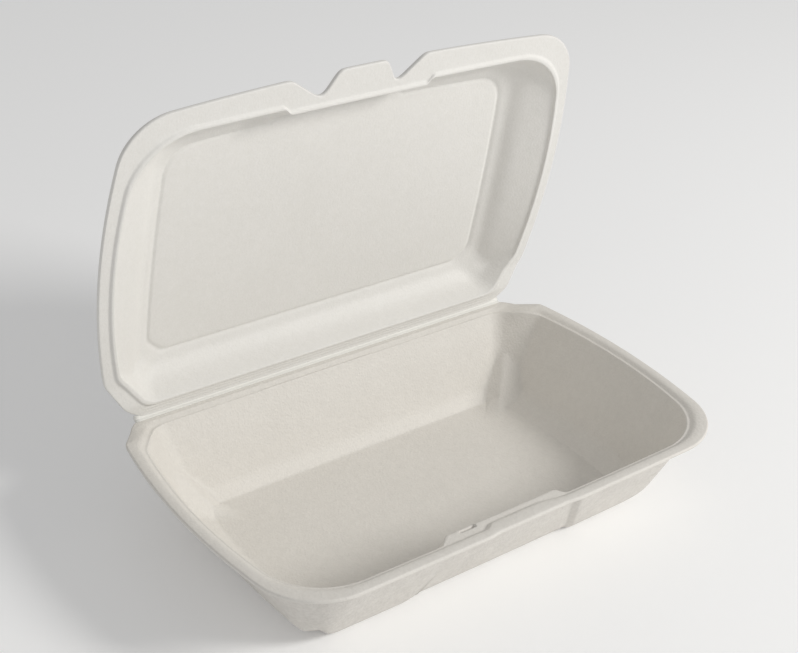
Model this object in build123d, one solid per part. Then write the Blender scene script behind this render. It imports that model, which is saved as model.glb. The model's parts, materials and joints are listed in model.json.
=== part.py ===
"""Foam clamshell food container: a sloped tray and a domed lid on one pressed hinge.

Both halves are one sheet of thermoformed foam, pressed thin along the hinge line. Millimetres.
X runs along the hinge, -Y is the front with the lock tab, +Z is up.
The origin is the middle of the tray's flat underside. The lid stands open, as it does at rest.
"""
import math
import os

from build123d import *

# Sheet
wall = 2.2                  # foam thickness of the walls, floor and roof
flange_thickness = 2.0      # the rims are pressed a little thinner

# Rim of the tray, seen from above
rim_length = 240.0          # across the middle of the bowed sides
rim_depth = 144.0           # hinge line to the front corners
rim_side_bow = 9.0          # how far each side swells past its ends
rim_front_bow = 1.2
rim_front_radius = 26.0
rim_cut = 17.0              # each rear corner is cut off from the hinge's end to here
rim_cut_radius = 8.0
rim_height = 42.2           # top of the rim above the underside
flange_width = 5.2          # flat band of the rim
ledge_width = 1.6           # small step just inside the band
ledge_drop = 1.6

# Tray bottom
base_length = 174.0
base_depth = 95.0
base_side_bow = 3.0
base_front_bow = 0.8
base_radius = 9.0           # front corners; each rear corner is cut by the same size
knee_rise = 6.0             # height where the rounded bottom turns into the wall
knee_spread_x = 9.0         # how far the bottom spreads out up to there, at each end
knee_spread_y = 4.5         # and at the front and back
knee_radius = 11.0

# Flutes pressed into the four bottom corners of the tray
flute_reach = 7.5           # how far in from the sharp corner the flute's shoulders lie
flute_half_width = 8.0
flute_tip = 2.8             # how far its ridge reaches in past the shoulders
flute_height = 28.0

# Shallow panel pressed into the middle of the tray's front wall
panel_base_half = 45.0
panel_top_half = 34.5
panel_depth = 1.6

# Lock in the tray's front rim
lock_left = -47.0           # the lock's recess runs from here ...
tongue_left = -24.0         # ... to here, where the flat tongue starts
tongue_right = 20.0         # right end of the tongue
lock_width = 3.6            # the recess and tongue reach this far in from the band
lock_drop = 2.2             # floor of the recess, below the rim
tongue_setback = 1.2        # the rim's outer edge is trimmed by this along the tongue
slot_length = 9.0           # slit where the tab tucks in, at the tongue's left end
slot_width = 1.6
slot_gap = 0.6              # from the slit to the rim's band and to the tongue

# Lid, measured from the hinge line as if it were closed
lid_length = 239.0
lid_depth = 145.5           # hinge line to the front corners
lid_side_bow = 9.3
lid_front_bow = 5.0
lid_front_radius = 26.0
lid_cut = 20.0
lid_cut_radius = 13.0
bead_width = 1.7            # rib around the lid's mouth that drops inside the tray's rim
bead_drop = 1.0
bead_gap = 0.4              # between the bead and the tray's step
roof_rise = 13.5            # inside of the roof above the tray's rim
roof_length = 186.0
roof_back = 17.5            # hinge line to the roof's back edge
roof_front = 126.5          # hinge line to the roof's front edge
roof_side_bow = 1.5
roof_front_bow = 2.5
roof_taper = 2.5            # the roof is this much narrower at each front corner
roof_radius = 14.0
shoulder_drop = 5.5         # below the roof, where the wall rounds over
shoulder_spread = 6.5
border_inset = 4.0          # fine groove pressed around the roof panel
border_width = 1.4
border_depth = 0.6
lid_panel_half = 42.0       # shallow panel in the middle of the lid's front wall
lid_panel_depth = 3.0

# Lock tab in the lid's front edge, between two notches
lock_centre = -5.4          # the lid's lock features sit this far off the middle
tab_half = 14.5
tab_slope = 2.0             # the tab is this much narrower at its outer edge
notch_depth = 9.0
notch_floor = 4.0           # width of each notch's bottom
notch_run = 12.0            # the far side of each notch slopes over this length
notch_radius = 1.9
tab_radius = 4.5
notch_end_radius = 12.0

# Hinge, and the rear of both rims, which dips to it
hinge_half_length = 102.0
hinge_drop = 2.8            # the tray's hinge edge lies this far below its rim
dip_run = 17.0              # the rims start to dip this far in front of the hinge line ...
dip_flat = 7.0              # ... and run level again from here back to it
hinge_web = 0.7             # thickness of the foam at the hinge line
press_width = 4.0           # pressed strip on each half
hinge_gap = 0.2             # each half stops this far from the hinge line
contact_gap = 0.15          # each rim face stays this far from the hinge's plane
open_angle = 81.0           # how far open the lid stands

# Worked out from the sizes above
hinge_y = rim_depth / 2
hinge_edge = rim_height - hinge_drop
hinge_z = hinge_edge + contact_gap
ledge_level = rim_height - ledge_drop
mouth_inset = flange_width + ledge_width
rim_clearance = 2 * contact_gap
lid_contact = rim_height + rim_clearance
lid_corner_y = hinge_y - lid_depth
roof_level = rim_height + roof_rise
far = 2 * rim_length        # larger than the whole object
over = 1.0                  # how far a cutting shape reaches past what it cuts


def outline(length, back, front, side_bow, front_bow, radius, cut_x, cut_y, cut_radius,
            taper=0.0):
    """Face with bowed sides and front, rounded front corners and cut rear corners."""
    depth = back - front
    back_x = length / 2 - side_bow
    front_x = back_x - taper
    cut_side_x = (length / 2 - side_bow * (1 - 2 * cut_y / depth) ** 2 - taper * cut_y / depth)
    side = (length / 2 - taper / 2, (back + front) / 2)
    right = [(back_x - cut_x, back), (cut_side_x, back - cut_y), side, (front_x, front)]
    left = [(-x, y) for x, y in right]
    face = make_face([
        Line(right[0], left[0]),
        Line(left[0], left[1]),
        ThreePointArc(left[1], left[2], left[3]),
        ThreePointArc(left[3], (0, front - front_bow), right[3]),
        ThreePointArc(right[3], right[2], right[1]),
        Line(right[1], right[0]),
    ])
    rows = face.vertices().group_by(Axis.Y)
    face = fillet(rows[-1] + rows[-2], cut_radius)
    return fillet(face.vertices().group_by(Axis.Y)[0], radius)


def rim_outline(inset):
    """The tray's rim line, moved inwards."""
    return outline(rim_length - 2 * inset, hinge_y - inset, inset - hinge_y, rim_side_bow,
                   rim_front_bow, rim_front_radius, rim_length / 2 - rim_side_bow
                   - hinge_half_length, rim_cut, rim_cut_radius)


def slab(face, low, high):
    """Straight plate from one level up to another."""
    return extrude(Pos(0, 0, low) * face, high - low)


def rim_layer(low, high):
    """Wide layer from one height over the rim's top to another, dipping to the hinge."""
    line = [(-far, rim_height), (hinge_y - dip_run, rim_height),
            (hinge_y - dip_flat, hinge_edge), (far, hinge_edge)]
    points = [(y, z + low) for y, z in line] + [(y, z + high) for y, z in reversed(line)]
    return extrude(Plane.YZ * make_face(Polyline(*points, close=True)), far, both=True)


def rim_plate(face, low, high):
    """The part of a rim layer inside an outline."""
    return slab(face, 0, far) & rim_layer(low, high)


def block(left, right, front, back, low, high):
    """Box given by its six faces."""
    middle = Pos((left + right) / 2, (front + back) / 2, (low + high) / 2)
    return middle * Box(right - left, back - front, high - low)


def tray_body(inset, lift):
    """The tray's basin up to its mouth: the outside, or the inside when moved in by the wall."""
    knee_x = base_length + 2 * knee_spread_x
    knee_y = base_depth / 2 + knee_spread_y
    base = outline(base_length - 2 * inset, base_depth / 2 - inset, inset - base_depth / 2,
                   base_side_bow, base_front_bow, base_radius, base_radius / 2, base_radius / 2,
                   base_radius / 2)
    knee = outline(knee_x - 2 * inset, knee_y - inset, inset - knee_y,
                   base_side_bow, base_front_bow, knee_radius, knee_radius / 2, knee_radius / 2,
                   knee_radius / 2)
    mouth = rim_outline(mouth_inset - wall + inset)
    levels = [Pos(0, 0, lift) * base, Pos(0, 0, knee_rise + lift / 2) * knee,
              Pos(0, 0, ledge_level) * mouth]
    return loft(levels, ruled=True)


def flutes(grow):
    """Tapering grooves that press the four bottom corners inwards."""
    corner_x = base_length / 2 + knee_spread_x - base_side_bow - grow
    corner_y = base_depth / 2 + knee_spread_y - grow
    wide = 2 * flute_half_width
    groove = make_face(Polyline((0, wide), (flute_reach, flute_half_width / 2),
                                (flute_reach + flute_tip, 0), (flute_reach, -flute_half_width / 2),
                                (0, -wide), (-wide, -wide), (-wide, wide), close=True))
    lean_x = (rim_length / 2 - rim_side_bow - corner_x) * flute_height / rim_height
    lean_y = (hinge_y - corner_y) * flute_height / rim_height
    cuts = []
    for side in (-1, 1):
        for end in (-1, 1):
            turn = math.degrees(math.atan2(-end, -side))
            foot = Pos(side * corner_x, end * corner_y, -over) * Rot(0, 0, turn) * groove
            tip = Vertex(side * (corner_x + lean_x), end * (corner_y + lean_y), flute_height)
            cuts.append(loft([foot, tip]))
    return cuts


def press_panel(body, base_half, top_half, centre, depth, low, high):
    """Press the middle of a body's front wall back by a depth, keeping its slope."""
    shape = make_face(Polyline((centre - base_half, low), (centre + base_half, low),
                               (centre + top_half, high), (centre - top_half, high), close=True))
    wedge = extrude(Rot(90, 0, 0) * shape, far)
    return body - (wedge - Pos(0, depth, 0) * body)


def make_tray():
    outside = tray_body(0, 0)
    inside = tray_body(wall, wall)
    top = rim_height - flange_thickness
    outside = press_panel(outside, panel_base_half, panel_top_half, 0, panel_depth, -over, top)
    inside = press_panel(inside, panel_base_half + wall / 2, panel_top_half + wall / 2, 0,
                         panel_depth, -over, top)
    for cut in flutes(0):
        outside -= cut
    for cut in flutes(wall):
        inside -= cut
    tray = outside - rim_layer(-ledge_drop, far)
    tray += rim_plate(rim_outline(0), -flange_thickness, 0)
    tray += rim_plate(rim_outline(flange_width - wall), -ledge_drop - wall, 0)
    tray -= inside
    tray -= rim_plate(rim_outline(flange_width), -ledge_drop, far)
    tray = add_tray_lock(tray)
    return press_hinge(tray, -far, hinge_edge - hinge_web)


def add_tray_lock(tray):
    """A tongue level with the rim, beside a lower recess whose slit takes the lid's tab."""
    band_edge = flange_width - hinge_y
    shelf_edge = band_edge + lock_width
    recess_level = rim_height - lock_drop
    tray += block(lock_left, tongue_left, band_edge - wall, shelf_edge,
                  recess_level - wall, recess_level)
    tray += block(tongue_left, tongue_right, band_edge - wall, shelf_edge,
                  recess_level - wall, rim_height)
    top = rim_height + over
    tray -= block(lock_left, tongue_left, band_edge, shelf_edge, recess_level, top)
    tray -= block(tongue_left, tongue_right, -far, tongue_setback - hinge_y - rim_front_bow,
                  rim_height - flange_thickness - over, top)
    slit_right = tongue_left - slot_gap
    slit_front = band_edge + slot_gap
    return tray - block(slit_right - slot_length, slit_right, slit_front, slit_front + slot_width,
                        recess_level - wall - over, top)


def press_hinge(half, low, high):
    """Stop a half just short of the hinge line and press its strip thin on one face."""
    half -= block(-far, far, hinge_y - hinge_gap, far, -far, far)
    return half - block(-far, far, hinge_y - press_width, far, low, high)


def lid_edge():
    """The lid's flat rim seen from above, with the lock tab between its two notches."""
    rim = outline(lid_length, hinge_y, lid_corner_y, lid_side_bow, lid_front_bow,
                  lid_front_radius, lid_length / 2 - lid_side_bow - hinge_half_length,
                  lid_cut, lid_cut_radius)
    front = lid_corner_y - lid_front_bow
    floor = front + notch_depth
    tab_foot = tab_half + tab_slope
    reach = tab_foot + notch_floor + notch_run
    for side in (-1, 1):
        points = [(tab_half - tab_slope, front - notch_depth), (tab_foot, floor),
                  (tab_foot + notch_floor, floor), (reach, front),
                  (reach + notch_run, front - notch_depth)]
        notch = make_face(Polyline(*[(lock_centre + side * x, y) for x, y in points], close=True))
        floor_ends = notch.vertices().group_by(Axis.Y)[-1]
        rim -= fillet(floor_ends, notch_radius)
    outer = [v for v in rim.vertices() if v.Y < floor - notch_radius]
    tab_ends = [v for v in outer if abs(v.X - lock_centre) < tab_half + tab_slope / 2]
    rim = fillet(tab_ends, tab_radius)
    outer = [v for v in rim.vertices() if v.Y < floor - notch_radius]
    notch_ends = [v for v in outer if reach - tab_slope < abs(v.X - lock_centre) < reach + notch_run]
    return fillet(notch_ends, notch_end_radius)


def roof_outline(inset):
    """The lid roof's outline, moved inwards."""
    return outline(roof_length - 2 * inset, hinge_y - roof_back - inset,
                   hinge_y - roof_front + inset, roof_side_bow, roof_front_bow, roof_radius,
                   roof_radius / 2, roof_radius / 2, roof_radius / 2, roof_taper)


def lid_dome(inset, drop):
    """The lid's dome from below its mouth to the roof: the inside, or the outside when grown."""
    mouth = rim_outline(mouth_inset + inset)
    shoulder_level = roof_level - shoulder_drop
    levels = [Pos(0, 0, hinge_edge - flange_thickness) * mouth,
              Pos(0, 0, lid_contact) * mouth,
              Pos(0, 0, shoulder_level - drop) * roof_outline(inset - shoulder_spread),
              Pos(0, 0, roof_level - drop) * roof_outline(inset)]
    return loft(levels, ruled=True)


def bead_ring():
    """Rib around the lid's mouth, stepping back behind the tray's tongue."""
    start = flange_width + bead_gap
    low = rim_clearance - bead_drop
    high = rim_clearance + flange_thickness
    ring = (rim_plate(rim_outline(start), low, high)
            - rim_plate(rim_outline(start + bead_width), low, high))
    left = lock_centre - lid_panel_half
    right = lock_centre + lid_panel_half
    step_front = flange_width + lock_width + bead_gap - hinge_y
    step_back = step_front + bead_width
    ring -= block(left, right, -far, 0, 0, far)
    ring += block(left, right, step_front, step_back, rim_height + low, rim_height + high)
    return ring + block(left, right, start - hinge_y - bead_width, step_back,
                        lid_contact, rim_height + high)


def roof_border(level):
    """Fine frame around the roof panel, as a thin raised ring on a level."""
    outer = slab(roof_outline(border_inset), level, level + border_depth)
    return outer - slab(roof_outline(border_inset + border_width), level, level + border_depth)


def make_lid():
    """The lid as if closed, then swung open about the hinge line."""
    outside = press_panel(lid_dome(-wall, -wall), lid_panel_half, lid_panel_half, lock_centre,
                          lid_panel_depth, 0, roof_level - shoulder_drop)
    inside = press_panel(lid_dome(0, 0), lid_panel_half + wall / 2, lid_panel_half + wall / 2,
                         lock_centre, lid_panel_depth, 0, roof_level - shoulder_drop)
    lid = outside - rim_layer(-far, rim_clearance)
    lid += rim_plate(lid_edge(), rim_clearance, rim_clearance + flange_thickness)
    lid += roof_border(roof_level + wall)
    lid -= inside
    lid -= roof_border(roof_level)
    lid += bead_ring()
    lid = press_hinge(lid, hinge_edge + rim_clearance + hinge_web, far)
    return lid.rotate(Axis((0, hinge_y, hinge_z), (-1, 0, 0)), open_angle)


if __name__ == "__main__":
    os.makedirs("parts", exist_ok=True)
    parts = {"tray": make_tray(), "lid": make_lid()}
    for name, solid in parts.items():
        export_step(solid, f"parts/{name}.step")
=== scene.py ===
import json
import math

import bmesh
import bpy
import numpy as np
from mathutils import Matrix, Vector


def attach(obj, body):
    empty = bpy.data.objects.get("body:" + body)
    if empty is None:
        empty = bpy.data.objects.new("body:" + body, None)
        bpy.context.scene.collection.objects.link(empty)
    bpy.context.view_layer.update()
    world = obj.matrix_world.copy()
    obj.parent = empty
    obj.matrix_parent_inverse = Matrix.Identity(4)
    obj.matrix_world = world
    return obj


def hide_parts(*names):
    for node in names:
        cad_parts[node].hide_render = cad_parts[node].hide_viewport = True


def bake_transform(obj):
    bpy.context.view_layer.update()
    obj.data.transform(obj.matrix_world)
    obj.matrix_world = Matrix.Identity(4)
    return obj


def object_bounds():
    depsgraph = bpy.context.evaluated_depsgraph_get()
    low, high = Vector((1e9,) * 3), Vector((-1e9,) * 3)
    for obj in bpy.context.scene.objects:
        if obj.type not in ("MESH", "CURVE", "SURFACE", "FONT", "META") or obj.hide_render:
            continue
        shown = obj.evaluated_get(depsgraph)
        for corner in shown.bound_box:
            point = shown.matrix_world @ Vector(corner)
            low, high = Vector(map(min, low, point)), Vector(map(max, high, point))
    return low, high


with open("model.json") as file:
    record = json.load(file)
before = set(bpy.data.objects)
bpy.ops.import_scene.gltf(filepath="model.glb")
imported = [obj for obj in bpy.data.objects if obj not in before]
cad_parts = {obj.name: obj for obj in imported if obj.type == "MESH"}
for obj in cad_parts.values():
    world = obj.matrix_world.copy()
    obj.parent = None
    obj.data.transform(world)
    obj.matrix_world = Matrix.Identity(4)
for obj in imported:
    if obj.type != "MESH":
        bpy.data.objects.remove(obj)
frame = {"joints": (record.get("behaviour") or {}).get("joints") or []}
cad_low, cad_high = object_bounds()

MM = 0.001

# Foam container, in millimetres, in the same frame as the CAD.
# The tray is built upright. The lid is built closed, then swung open about the hinge.
WALL = 2.2
RIM_LENGTH = 239.96
RIM_HEIGHT = 42.2
RIM_THICK = 2.0
FLANGE = 5.2
LEDGE = 1.6
RIM_SIDE_BOW = 9.0
BASE_LENGTH = 174.0
BASE_DEPTH = 95.0
KNEE_RISE = 6.0
KNEE_OUT_X = 9.0
KNEE_OUT_Y = 4.5
HINGE_HALF = 102.0
HINGE_DROP = 2.8
HINGE_WEB = 0.7
HINGE_STOP = 0.2
DIP_RUN = 17.0
DIP_FLAT = 7.0
CONTACT = 0.3
LID_LENGTH = 239.0
LID_DEPTH = 145.5
LID_SIDE_BOW = 9.3
LID_FRONT_BOW = 5.0
ROOF_RISE = 13.5
ROOF_LENGTH = 186.0
ROOF_BACK = 15.8
ROOF_FRONT = 124.6
LOCK_CENTRE = -5.4
LID_PANEL_HALF = 42.0
LID_PANEL_DEPTH = 3.0

joint = frame["joints"][0]
hinge = Vector(joint["pos_m"])
HINGE_Y = hinge.y / MM
HINGE_Z = hinge.z / MM
open_angle = math.radians(-joint["range_deg"][0])
LID_CONTACT = RIM_HEIGHT + CONTACT
ROOF_LEVEL = RIM_HEIGHT + ROOF_RISE


# ---------------------------------------------------------------- outlines

def unit(v):
    v = np.asarray(v, float)
    return v / np.linalg.norm(v)


def smooth(x):
    """0 below 0, 1 above 1, and an even ease between."""
    x = np.clip(x, 0.0, 1.0)
    return x * x * (3 - 2 * x)


def stretch(x, low, high, soft_low, soft_high):
    """1 from low to high, easing off over the soft widths inside each end."""
    return smooth((x - low) / soft_low) * smooth((high - x) / soft_high)


def soft_max(a, b, reach):
    """The larger of a and b, with the crease between them rounded over."""
    h = np.clip(0.5 + 0.5 * (a - b) / reach, 0.0, 1.0)
    return b * (1 - h) + a * h + reach * h * (1 - h)


def turn_corner(start, leaving, end, arriving, count):
    """Points of a near-circular curve between two tangents, without its two ends."""
    run = np.linalg.solve(np.column_stack([leaving, -arriving]), end - start)
    corner = start + leaving * run[0]
    weight = math.cos(math.acos(float(np.clip(leaving @ arriving, -1, 1))) / 2)
    t = np.linspace(0, 1, count + 2)[1:-1, None]
    a, b, c = (1 - t) ** 2, 2 * weight * t * (1 - t), t ** 2
    return (a * start + b * corner + c * end) / (a + b + c)


# Share of the half front edge at each point: close together as far as the lock and notches reach.
FRONT_SPAN, FINE_SPAN = 91, 52
FRONT_STEPS = np.concatenate([np.arange(0, FINE_SPAN, 0.6),
                              np.linspace(FINE_SPAN, FRONT_SPAN, 14)]) / FRONT_SPAN
CORNER_STEPS, SIDE_STEPS, CUT_STEPS, LINE_STEPS, BACK_STEPS = 32, 54, 9, 5, 40


def outline(length, back, front, side_bow, front_bow, radius, cut_x, cut_y, cut_radius, taper=0.0):
    """Closed loop of points: bowed sides and front, round front corners, cut rear corners."""
    half, middle = (back - front) / 2, (back + front) / 2
    back_x = length / 2 - side_bow
    front_x = back_x - taper

    def side(y):
        u = (y - middle) / half
        point = np.array([length / 2 - side_bow * u * u - taper * (1 - u) / 2, y])
        return point, unit([(taper / 2 - 2 * side_bow * u) / half, 1.0])

    def edge(x):
        u = x / front_x
        point = np.array([x, front - front_bow * (1 - u * u)])
        return point, unit([1.0, 2 * front_bow * u / front_x])

    def setback(a, b, r):
        return r * math.tan(math.acos(float(a @ b)) / 2)

    away = np.array([-1.0, 0.0])
    reach = setback(edge(front_x)[1], side(front)[1], radius)
    edge_end = edge(front_x - reach * edge(front_x)[1][0])
    side_start = side(front + reach * side(front)[1][1])
    cut_start, heading = side(back - cut_y)
    cut_end = np.array([back_x - cut_x, back])
    along = unit(cut_end - cut_start)
    first = setback(heading, along, cut_radius)
    second = setback(along, away, cut_radius)
    side_end = side(back - cut_y - first * heading[1])
    line_start, line_end = cut_start + along * first, cut_end - along * second
    back_start = cut_end + away * second
    half_loop = np.concatenate([
        [edge(x)[0] for x in FRONT_STEPS * edge_end[0][0]],
        turn_corner(*edge_end, *side_start, CORNER_STEPS),
        [side(y)[0] for y in np.linspace(side_start[0][1], side_end[0][1], SIDE_STEPS)],
        turn_corner(*side_end, line_start, along, CUT_STEPS),
        line_start + (line_end - line_start) * np.linspace(0, 1, LINE_STEPS)[:, None],
        turn_corner(line_end, along, back_start, away, CUT_STEPS),
        back_start + (np.array([0.0, back]) - back_start) * np.linspace(0, 1, BACK_STEPS)[:, None],
    ])
    return np.concatenate([half_loop, half_loop[-2:0:-1] * [-1, 1]])


def level(loop, z):
    """An outline as points at one height, or at a height for each point."""
    return np.column_stack([loop, np.broadcast_to(z, len(loop))])


def rim(inset):
    """The tray's outer edge, moved in by inset."""
    cut = RIM_LENGTH / 2 - RIM_SIDE_BOW - HINGE_HALF
    return outline(RIM_LENGTH - 2 * inset, HINGE_Y - inset, inset - HINGE_Y, RIM_SIDE_BOW, 1.2,
                   33.0, cut, 17.0, 10.5)


def base(inset):
    """The flat the tray stands on."""
    r = 9.0
    return outline(BASE_LENGTH - 2 * inset, BASE_DEPTH / 2 - inset, inset - BASE_DEPTH / 2,
                   3.0, 0.8, r, r / 2, r / 2, r / 2)


def knee(inset):
    """The bend between the tray's base and its walls."""
    r = 11.0
    y = BASE_DEPTH / 2 + KNEE_OUT_Y - inset
    return outline(BASE_LENGTH + 2 * (KNEE_OUT_X - inset), y, -y, 3.0, 0.8, r, r / 2, r / 2, r / 2)


def roof(inset):
    """The raised flat of the lid."""
    r = 14.0
    return outline(ROOF_LENGTH - 2 * inset, HINGE_Y - ROOF_BACK - inset,
                   HINGE_Y - ROOF_FRONT + inset, 1.5, 2.5, r, r / 2, r / 2, r / 2, 2.5)


# ---------------------------------------------------------------- sheet building

def section(keys):
    """Rings of points along a run of key rings, rounding over each inner key.

    A key is (ring, rounding distance, rings in the rounding, rings in the straight after it).
    """
    rings = [keys[0][0]]
    tail = keys[0][0]
    for k in range(1, len(keys)):
        here, distance, turns, _ = keys[k]
        straight = keys[k - 1][3]
        arrive = leave = here
        is_last = k == len(keys) - 1
        if not is_last:
            before, after = keys[k - 1][0] - here, keys[k + 1][0] - here
            long_before = np.linalg.norm(before, axis=1, keepdims=True)
            long_after = np.linalg.norm(after, axis=1, keepdims=True)
            reach = np.minimum(distance, 0.45 * np.minimum(long_before, long_after))
            arrive = here + before / long_before * reach
            leave = here + after / long_after * reach
        for t in np.linspace(0, 1, straight + 1)[1:]:
            rings.append(tail + (arrive - tail) * t)
        if not is_last:
            for t in np.linspace(0, 1, turns + 1)[1:]:
                rings.append((1 - t) ** 2 * arrive + 2 * t * (1 - t) * here + t ** 2 * leave)
        tail = leave
    return np.array(rings)


def closed_mesh(name, rings, inner_rings=None):
    """Mesh of stacked rings, closed by a flat face over the first and the last.

    Faces after inner_rings take the second material, for the outside of the sheet.
    """
    count, around = rings.shape[:2]
    index = np.arange(count * around).reshape(count, around)
    nxt = np.roll(index, -1, axis=1)
    quads = np.stack([index[:-1], nxt[:-1], nxt[1:], index[1:]], axis=-1).reshape(-1, 4)
    faces = quads.tolist() + [index[0][::-1].tolist(), index[-1].tolist()]
    mesh = bpy.data.meshes.new(name)
    mesh.from_pydata((rings.reshape(-1, 3) * MM).tolist(), [], faces)
    if inner_rings is not None:
        outer = np.zeros(len(mesh.polygons), dtype=np.int32)
        outer[inner_rings * around:len(quads)] = 1
        outer[-1] = 1
        mesh.polygons.foreach_set("material_index", outer)
    solid = bmesh.new()
    solid.from_mesh(mesh)
    bmesh.ops.recalc_face_normals(solid, faces=solid.faces)
    solid.to_mesh(mesh)
    solid.free()
    mesh.update()
    mesh.shade_smooth()
    piece = bpy.data.objects.new(name, mesh)
    bpy.context.scene.collection.objects.link(piece)
    return piece


def dip(y):
    """How far the rear of both rims sinks to the hinge."""
    return HINGE_DROP * np.clip((y - (HINGE_Y - DIP_RUN)) / (DIP_RUN - DIP_FLAT), 0, 1)


def scores(y):
    """Fine lines pressed along the hinge, as a depth."""
    away = HINGE_Y - y
    return sum(depth * np.exp(-((away - at) / 0.42) ** 2)
               for at, depth in ((1.5, 0.22), (3.1, 0.2), (4.7, 0.2)))


# ---------------------------------------------------------------- tray

LOCK_LEFT, TONGUE_LEFT, TONGUE_RIGHT = -48.0, -25.0, 20.0
SHELF_REACH, TONGUE_REACH, SHELF_LIP = 4.4, 2.3, 0.4
SLIT_LEFT, SLIT_RIGHT, SLIT_NEAR, SLIT_FAR, SLIT_DEPTH = -33.2, -24.8, 8.1, 9.9, 1.9
PANEL_BASE_HALF, PANEL_TAPER, PANEL_DEPTH = 45.0, 0.4, 1.6
# The ridge of each flute stands on its corner's diagonal. FLUTE_FOOT is how far out its foot is.
FLUTE_SIDEWAYS, FLUTE_FOOT, FLUTE_FOOT_OUTSIDE = 28.0, 82.4, 89.0
FLUTE_SLOPE, FLUTE_FALL, FLUTE_TOP = 0.97, 0.42, 34


def front_shift(loop, amount):
    """Moves the front of an outline back by an amount given for each point."""
    moved = loop.copy()
    moved[:, 1] += amount * (loop[:, 1] < 0)
    return moved


def tray_rings():
    plain = rim(0)
    x = plain[:, 0]
    shelf = stretch(x, LOCK_LEFT, TONGUE_RIGHT + 3, 7.0, 5.0)
    tongue = stretch(x, TONGUE_LEFT, TONGUE_RIGHT, 5.0, 16.0)
    trim = 0.6 * stretch(x, TONGUE_LEFT - 1, TONGUE_RIGHT + 4, 7.0, 9.0)
    at_back = smooth((plain[:, 1] - (HINGE_Y - 3.0)) / 2.5)
    ledge = RIM_HEIGHT - LEDGE
    lip = ledge + SHELF_LIP * shelf
    under = RIM_HEIGHT - RIM_THICK + (RIM_THICK - HINGE_WEB) * at_back
    mouth_out = rim(FLANGE + LEDGE - WALL)
    knee_out = level(knee(0), KNEE_RISE)
    high_out = level(mouth_out, RIM_HEIGHT - LEDGE)
    wall_top = high_out + (knee_out - high_out) * 0.07
    inside = [
        (level(base(WALL + 36), WALL), 0, 0, 7),
        (level(base(WALL), WALL), 1.0, 4, 4),
        (level(knee(WALL), KNEE_RISE + WALL / 2), 3.0, 5, 21),
        (level(front_shift(rim(FLANGE + LEDGE), SHELF_REACH * shelf), lip), 1.3, 5, 8),
        (level(front_shift(rim(FLANGE + 0.7), TONGUE_REACH * tongue), ledge), 0.7, 4, 1),
        (level(front_shift(rim(FLANGE - 1.0), TONGUE_REACH * tongue), RIM_HEIGHT - 0.2), 1.0, 5, 5),
        (level(front_shift(rim(2.4), trim), RIM_HEIGHT), 1.2, 4, 6),
        (level(front_shift(plain, 1.2 * trim), RIM_HEIGHT - 0.3), 0.8, 4, 1),
    ]
    outside = [
        (level(front_shift(plain, 1.2 * trim), under), 0.5, 3, 5),
        (level(rim(3.2), under), 0.4, 3, 2),
        (level(rim(3.6), RIM_HEIGHT - 3.8), 0.9, 3, 2),
        (wall_top, 0.9, 3, 20),
        (knee_out, 5.5, 6, 3),
        (level(base(0), 0.0), 2.5, 6, 6),
        (level(base(36), 0.0), 0, 0, 0),
    ]
    inner = section(inside + [outside[0]])
    p = section(inside + outside)
    inner_side = (np.arange(len(p)) < len(inner) - 1)[:, None]

    # the shallow panel pressed into the middle of the front wall
    half = PANEL_BASE_HALF - PANEL_TAPER * np.clip(p[..., 2], 0, 40)
    pressed = stretch(p[..., 0], -half, half, 0.8, 3.0)
    pressed = pressed + 0.8 * np.exp(-((p[..., 0] + half + 0.7) / 0.5) ** 2)
    pressed = pressed + 0.35 * np.exp(-((p[..., 0] - half + 1.5) / 1.3) ** 2)
    pressed = pressed * smooth((-24 - p[..., 1]) / 14) * smooth((39.5 - p[..., 2]) / 3.0)
    p[..., 1] += PANEL_DEPTH * pressed

    # the flutes that press the four bottom corners in, with a ridge up the middle
    along = (np.abs(p[..., 0]) + np.abs(p[..., 1])) / math.sqrt(2)
    across = (np.abs(p[..., 0]) - np.abs(p[..., 1])) / math.sqrt(2) - FLUTE_SIDEWAYS
    foot = np.where(inner_side, FLUTE_FOOT, FLUTE_FOOT_OUTSIDE)
    floor = np.where(inner_side, WALL, 0.0)
    facet = floor + (along - foot - FLUTE_FALL * np.abs(across)) * FLUTE_SLOPE
    below = (np.abs(across) < 30) & (p[..., 2] < FLUTE_TOP)
    p[..., 2] = np.where(below, soft_max(p[..., 2], facet, 0.25), p[..., 2])

    # the slit in the lock's shelf
    into = p[..., 1] + HINGE_Y
    slit = stretch(p[..., 0], SLIT_LEFT, SLIT_RIGHT, 0.7, 0.7)
    slit = slit * stretch(into, SLIT_NEAR, SLIT_FAR, 0.4, 0.4)
    p[..., 2] -= SLIT_DEPTH * slit * (inner_side & (p[..., 2] > 38))

    # the rear dips to the hinge, with its scored lines
    p[..., 2] -= dip(p[..., 1]) * np.clip(p[..., 2] / 38, 0, 1) ** 2
    at_hinge = at_back * smooth((p[..., 1] - (HINGE_Y - 6.5)) / 1.0)
    p[..., 2] -= scores(p[..., 1]) * at_hinge * (inner_side & (p[..., 2] > 36))
    p[..., 1] = np.minimum(p[..., 1], HINGE_Y - HINGE_STOP)
    return p, len(inner)


# ---------------------------------------------------------------- lid

# Where each notch beside the tab starts, bottoms and ends, from the lock's middle, and how deep.
NOTCH_PLACES = [-34.0, -20.4, -17.4, -11.0, 13.4, 17.6, 20.4, 32.5]
NOTCH_DEPTHS = [0.0, 10.2, 10.2, 0.0, 0.0, 10.4, 10.4, 0.0]
NOTCH_ROUNDING = 2.2


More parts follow.
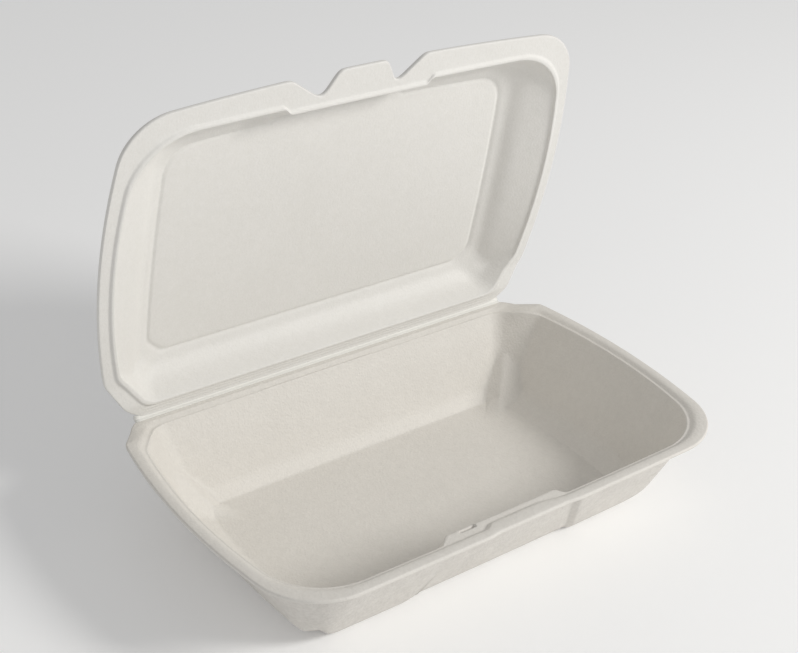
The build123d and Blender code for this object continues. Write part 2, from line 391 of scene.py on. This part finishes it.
def lock_profile(x):
    """How far the lid's front edge is drawn back at x, for the notches beside the tab."""
    along = np.linspace(-60, 60, 4801)
    depth = np.interp(along, NOTCH_PLACES, NOTCH_DEPTHS)
    kernel = np.exp(-(np.linspace(-5, 5, 401) / NOTCH_ROUNDING) ** 2)
    depth = np.convolve(np.pad(depth, 200, mode="edge"), kernel / kernel.sum(), mode="valid")
    return np.interp(x - LOCK_CENTRE, along, depth)


def lid_rings():
    edge = outline(LID_LENGTH, HINGE_Y, HINGE_Y - LID_DEPTH, LID_SIDE_BOW, LID_FRONT_BOW, 26.0,
                   LID_LENGTH / 2 - LID_SIDE_BOW - HINGE_HALF, 20.0, 17.5)
    x = edge[:, 0]
    edge = front_shift(edge, lock_profile(x))
    at_back = smooth((edge[:, 1] - (HINGE_Y - 3.0)) / 2.5)
    panel = LID_PANEL_DEPTH * stretch(x, LOCK_CENTRE - LID_PANEL_HALF - 1.5,
                                      LOCK_CENTRE + LID_PANEL_HALF + 1.5, 5.0, 5.0)
    top = LID_CONTACT + RIM_THICK - (RIM_THICK - HINGE_WEB) * at_back

    def pressed(loop, share=1.0):
        return front_shift(loop, panel * share)

    inside = [
        (level(roof(30), ROOF_LEVEL), 0, 0, 8),
        (level(pressed(roof(4.6), -0.5), ROOF_LEVEL), 0.8, 3, 2),
        (level(pressed(roof(3.3), -0.5), ROOF_LEVEL + 0.65), 0.7, 4, 2),
        (level(pressed(roof(1.8), -0.5), ROOF_LEVEL - 0.3), 1.0, 4, 3),
        (level(roof(-1.6), ROOF_LEVEL - 1.5), 3.5, 6, 3),
        (level(pressed(roof(-6.5), 0.6), ROOF_LEVEL - 5.8), 4.0, 6, 8),
        (level(pressed(rim(7.5)), LID_CONTACT + 0.2), 0.9, 4, 2),
        (level(pressed(rim(7.2)), LID_CONTACT - 0.95), 0.6, 5, 2),
        (level(pressed(rim(5.9)), LID_CONTACT - 1.0), 0.7, 5, 2),
        (level(pressed(rim(5.1)), LID_CONTACT + 0.05), 0.9, 5, 13),
        (level(edge, LID_CONTACT + 0.05), 0.8, 4, 1),
    ]
    outside = [
        (level(edge, top), 0.8, 4, 8),
        (level(pressed(rim(4.6)), top), 1.4, 4, 10),
        (level(pressed(roof(-8.7), 0.6), ROOF_LEVEL - 3.6), 5.0, 6, 3),
        (level(roof(-3.4), ROOF_LEVEL + 1.0), 3.5, 6, 3),
        (level(roof(1.4), ROOF_LEVEL + WALL), 0.8, 3, 2),
        (level(roof(2.7), ROOF_LEVEL + WALL + 0.5), 0.6, 3, 2),
        (level(roof(4.2), ROOF_LEVEL + WALL), 0.8, 3, 7),
        (level(roof(30), ROOF_LEVEL + WALL), 0, 0, 0),
    ]
    inner = section(inside + [outside[0]])
    p = section(inside + outside)
    inner_side = (np.arange(len(p)) < len(inner) - 1)[:, None]
    share = np.clip((ROOF_LEVEL - p[..., 2]) / (ROOF_RISE - 3.0), 0, 1)
    p[..., 2] -= dip(p[..., 1]) * share
    at_hinge = at_back * smooth((p[..., 1] - (HINGE_Y - 5.6)) / 0.6)
    p[..., 2] += scores(p[..., 1]) * at_hinge * (inner_side & (p[..., 2] < LID_CONTACT + 1))
    p[..., 1] = np.minimum(p[..., 1], HINGE_Y - HINGE_STOP)
    return swing_open(p), len(inner)


def swing_open(p):
    """Turns points of the closed lid about the hinge line to where it rests."""
    y, z = p[..., 1] - HINGE_Y, p[..., 2] - HINGE_Z
    c, s = math.cos(open_angle), math.sin(open_angle)
    return np.stack([p[..., 0], HINGE_Y + y * c + z * s, HINGE_Z - y * s + z * c], axis=-1)


# ---------------------------------------------------------------- hinge web

def hinge_web_rings():
    """Thin strip of foam that bends round the hinge line and joins the two halves."""
    turns = np.linspace(0, open_angle, 15)
    radius, thick, lap, sink = 0.55, 0.42, 1.1, 0.25
    centre = np.array([HINGE_Y - radius, HINGE_Z + radius])
    inner, outer = [], []
    top = HINGE_Z - sink
    for path, offset in ((inner, 0.0), (outer, thick)):
        path.append((HINGE_Y - radius - lap, top - offset))
        for t in turns:
            r = radius + sink + offset
            path.append((centre[0] + r * math.sin(t), centre[1] - r * math.cos(t)))
        end = np.array(path[-1])
        path.append(tuple(end + lap * np.array([math.cos(open_angle), math.sin(open_angle)])))
    loop = np.array(inner + outer[::-1])
    xs = np.linspace(-HINGE_HALF + 0.6, HINGE_HALF - 0.6, 80)
    return np.array([[(x, y, z) for y, z in loop] for x in xs])


# ---------------------------------------------------------------- materials

class Value:
    """A shader socket that takes part in Python arithmetic."""

    def __init__(self, tree, socket):
        self.tree, self.socket = tree, socket

    def make(self, kind, settings=None, output=0, **inputs):
        """Adds a node: its settings first, then the values or links of its sockets."""
        node = self.tree.nodes.new(kind)
        for key, value in (settings or {}).items():
            setattr(node, key, value)
        for key, value in inputs.items():
            name = int(key[1:]) if key[1:].isdigit() else key.replace("_", " ")
            socket = node.inputs[name]
            if isinstance(value, Value):
                self.tree.links.new(value.socket, socket)
            else:
                socket.default_value = value
        return Value(self.tree, node.outputs[output])

    def maths(self, operation, a, b=0.0):
        return self.make("ShaderNodeMath", {"operation": operation}, _0=a, _1=b)

    def __add__(self, other):
        return self.maths("ADD", self, other)

    def __radd__(self, other):
        return self.maths("ADD", other, self)

    def __sub__(self, other):
        return self.maths("SUBTRACT", self, other)

    def __rsub__(self, other):
        return self.maths("SUBTRACT", other, self)

    def __mul__(self, other):
        return self.maths("MULTIPLY", self, other)

    def __rmul__(self, other):
        return self.maths("MULTIPLY", other, self)

    def mix(self, a, b):
        """Colour a where this is 0 and b where it is 1."""
        return self.make("ShaderNodeMix", {"data_type": "RGBA"}, 2, _0=self, _6=a, _7=b)


def noise(place, scale, detail=2.0, roughness=0.5):
    return place.make("ShaderNodeTexNoise", Vector=place, Scale=scale, Detail=detail,
                      Roughness=roughness)


def foam(name, light, shade, grain, coarse=1.0):
    """Pressed polystyrene foam: off-white, faintly mottled, with a fine closed-cell grain."""
    material = bpy.data.materials.new(name)
    material.use_nodes = True
    tree = material.node_tree
    shader = tree.nodes["Principled BSDF"]
    coordinates = tree.nodes.new("ShaderNodeTexCoord")
    place = Value(tree, coordinates.outputs["Object"])

    clouds = noise(place, 38.0, 2.0)
    blotches = noise(place, 330.0 / coarse, 2.0, 0.6)
    grit = noise(place, 1150.0 / coarse, 1.0, 0.65)
    cells = place.make("ShaderNodeTexVoronoi", Vector=place, Scale=900.0)
    dents = noise(place, 95.0, 1.0)

    tone = 0.22 * clouds + 0.4 * blotches + 0.38 * grit
    spread = tone.make("ShaderNodeMapRange", _0=tone, _1=0.36, _2=0.64, _3=0.0, _4=1.0)
    colour = spread.mix((*shade, 1.0), (*light, 1.0))
    gloss = 0.46 + 0.16 * blotches
    height = 0.55 * cells + 0.6 * grit + 0.8 * blotches + 1.6 * dents
    bump = height.make("ShaderNodeBump", Strength=grain, Distance=0.00022, Height=height)
    tree.links.new(colour.socket, shader.inputs["Base Color"])
    tree.links.new(gloss.socket, shader.inputs["Roughness"])
    tree.links.new(bump.socket, shader.inputs["Normal"])
    shader.inputs["IOR"].default_value = 1.42
    return material


# ---------------------------------------------------------------- pieces

def finish_piece(piece, materials):
    for material in materials:
        piece.data.materials.append(material)
    return piece


tray_foam = foam("tray_foam", (0.765, 0.737, 0.69), (0.72, 0.692, 0.645), 0.6)
lid_foam = foam("lid_foam", (0.80, 0.785, 0.755), (0.765, 0.75, 0.715), 0.35)
web_foam = foam("web_foam", (0.86, 0.85, 0.81), (0.82, 0.81, 0.77), 0.2)

# Darker copies of each foam for the outer faces of the sheets: the darker colour is painted shade
# on faces that turn down or away from the light, and the coarser grain is the foam's own.
tray_painted_shade_copy = foam("tray_outer_painted_shade", (0.74, 0.712, 0.668), (0.63, 0.602, 0.56), 0.8, 1.7)
lid_painted_shade_copy = foam("lid_outer_painted_shade", (0.80, 0.785, 0.75), (0.73, 0.715, 0.68), 0.6, 1.5)

tray = finish_piece(closed_mesh("tray_foam_shell", *tray_rings()), (tray_foam, tray_painted_shade_copy))
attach(tray, "tray")
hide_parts("tray")
lid = finish_piece(closed_mesh("lid_foam_shell", *lid_rings()), (lid_foam, lid_painted_shade_copy))
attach(lid, "lid")
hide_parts("lid")
web = finish_piece(closed_mesh("hinge_web", hinge_web_rings()), (web_foam,))
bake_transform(web)


# ---------------------------------------------------------------- stage, light and camera

def area_light(name, place, aim, size, power, colour):
    data = bpy.data.lights.new(name, "AREA")
    data.shape = "DISK"
    data.size = size
    data.energy = power
    data.color = colour
    lamp = bpy.data.objects.new(name, data)
    lamp.location = place
    lamp.rotation_mode = "QUATERNION"
    lamp.rotation_quaternion = (Vector(aim) - Vector(place)).to_track_quat("-Z", "Y")
    bpy.context.scene.collection.objects.link(lamp)


def stage_floor():
    size = 6.0
    mesh = bpy.data.meshes.new("studio_floor")
    mesh.from_pydata([(-size, -size, 0), (size, -size, 0), (size, size, 0), (-size, size, 0)], [],
                     [(0, 1, 2, 3)])
    floor = bpy.data.objects.new("studio_floor", mesh)
    floor.location.z = cad_low.z - 0.0002
    bpy.context.scene.collection.objects.link(floor)
    material = bpy.data.materials.new("studio_floor")
    material.use_nodes = True
    shader = material.node_tree.nodes["Principled BSDF"]
    shader.inputs["Base Color"].default_value = (0.93, 0.93, 0.93, 1)
    shader.inputs["Roughness"].default_value = 0.9
    shader.inputs["Specular IOR Level"].default_value = 0.1
    shader.inputs["Emission Color"].default_value = (1.0, 1.0, 1.0, 1)
    shader.inputs["Emission Strength"].default_value = 0.1
    mesh.materials.append(material)


stage_floor()
world = bpy.data.worlds.new("studio")
bpy.context.scene.world = world
world.use_nodes = True
world.node_tree.nodes["Background"].inputs["Color"].default_value = (1.0, 1.0, 1.0, 1.0)
world.node_tree.nodes["Background"].inputs["Strength"].default_value = 0.42
area_light("key", (0.95, -1.1, 0.95), (0.0, 0.02, 0.07), 0.5, 16.5, (1.0, 0.99, 0.965))
area_light("fill", (-1.0, -0.7, 0.8), (0.0, 0.02, 0.06), 1.0, 0.6, (0.97, 0.98, 1.0))
bpy.context.scene.view_settings.view_transform = "Standard"

AZIMUTH, ELEVATION, ROLL = (math.radians(v) for v in (-38.93, 29.25, 4.08))
DISTANCE, LENS, SHIFT_X, SHIFT_Y = 0.7054, 67.69, 0.0051, -0.035
TARGET = Vector((0.03738, 0.07395, 0.05786))
back = Vector((math.sin(AZIMUTH) * math.cos(ELEVATION), -math.cos(AZIMUTH) * math.cos(ELEVATION),
               math.sin(ELEVATION)))
right = Vector((math.cos(AZIMUTH), math.sin(AZIMUTH), 0.0))
up = back.cross(right)
tilted_right = right * math.cos(ROLL) + up * math.sin(ROLL)
tilted_up = up * math.cos(ROLL) - right * math.sin(ROLL)
camera = bpy.data.objects.new("camera", bpy.data.cameras.new("camera"))
bpy.context.scene.collection.objects.link(camera)
pose = Matrix((tilted_right, tilted_up, back)).transposed().to_4x4()
pose.translation = TARGET + back * DISTANCE
camera.matrix_world = pose
camera.data.sensor_width = 36.0
camera.data.lens = LENS
camera.data.shift_x = SHIFT_X
camera.data.shift_y = SHIFT_Y
camera.data.clip_end = 20.0
bpy.context.scene.camera = camera
